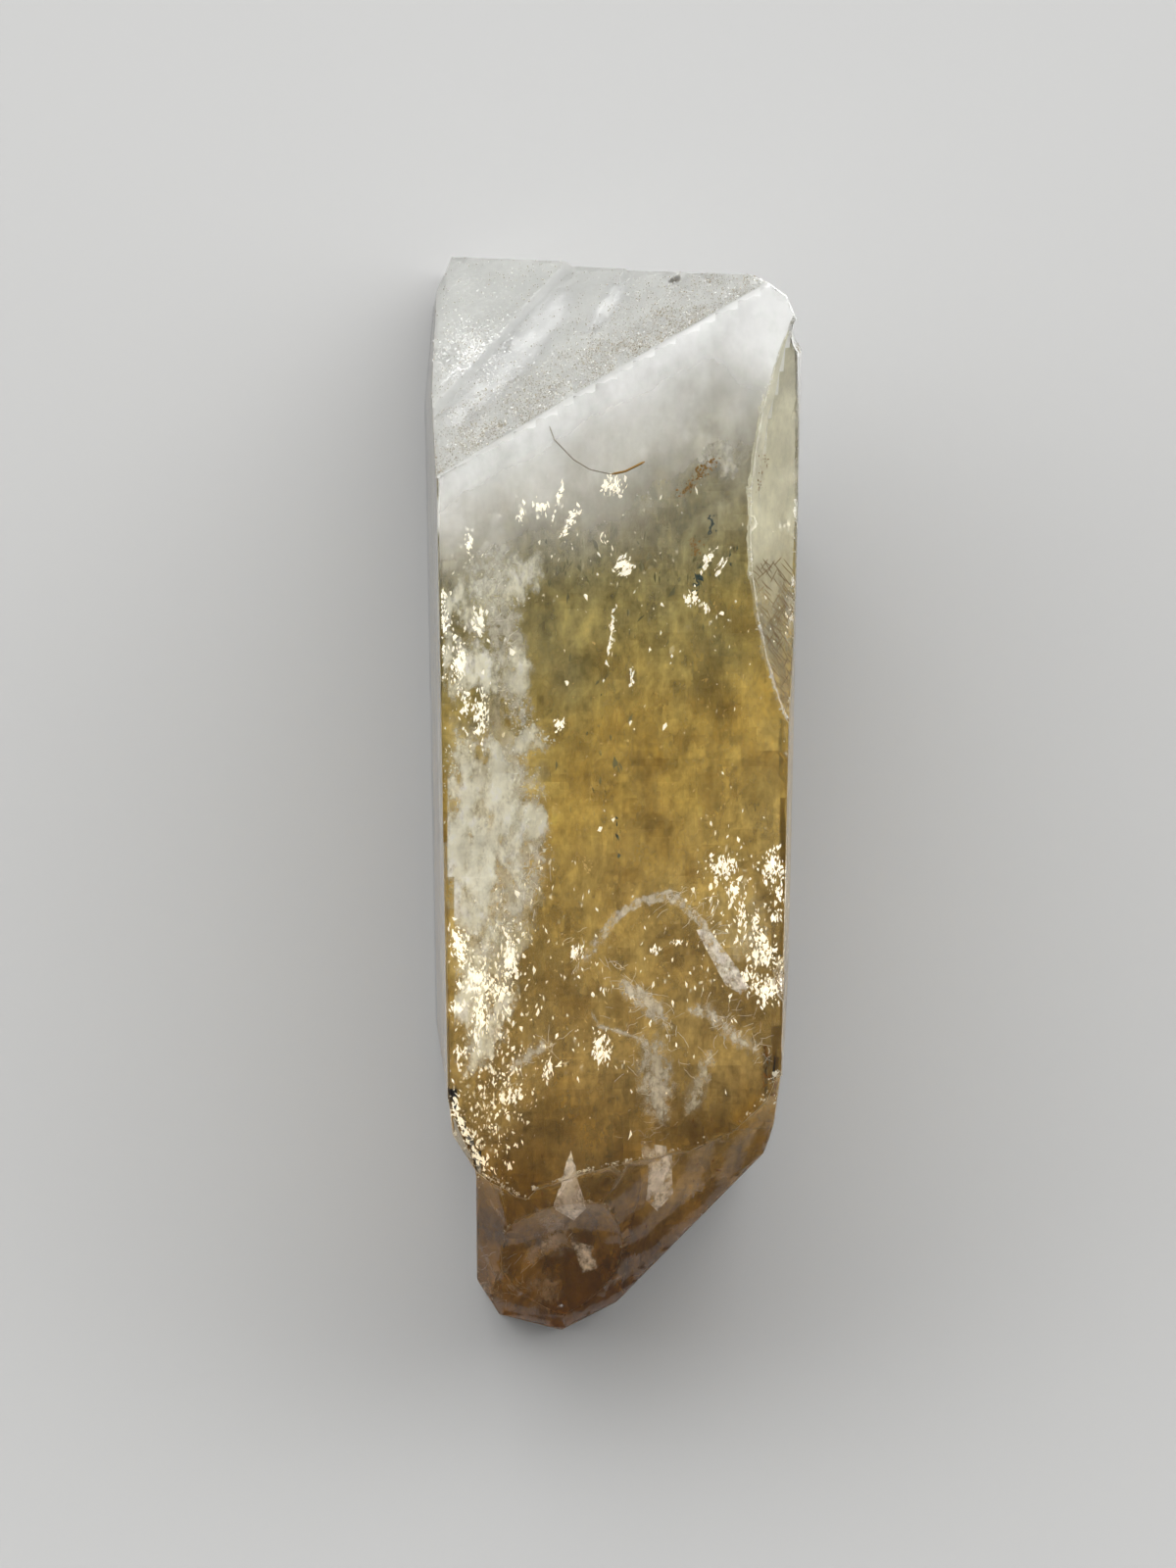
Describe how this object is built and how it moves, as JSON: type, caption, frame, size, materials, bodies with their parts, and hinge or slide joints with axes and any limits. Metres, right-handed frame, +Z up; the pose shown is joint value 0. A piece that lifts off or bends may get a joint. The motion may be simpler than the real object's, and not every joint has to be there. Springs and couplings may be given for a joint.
{
  "type": "danburite crystal",
  "caption": "Honey-coloured clear danburite crystal lying on a flat prism face, with a frosted chisel-shaped end and a broken foot.",
  "frame": {"origin": "under the middle of the crystal, on the surface that it lies on", "axes": "+X to the right across the front face, +Y along the crystal from the broken foot to the chisel end, +Z up out of the front face"},
  "size_m": [0.0194, 0.0558, 0.0175],
  "materials": {
    "crystal": "clear honey, frosted at the chisel end"
  },
  "bodies": {
    "root": {"danburite_crystal": "crystal"}
  },
  "joints": []
}
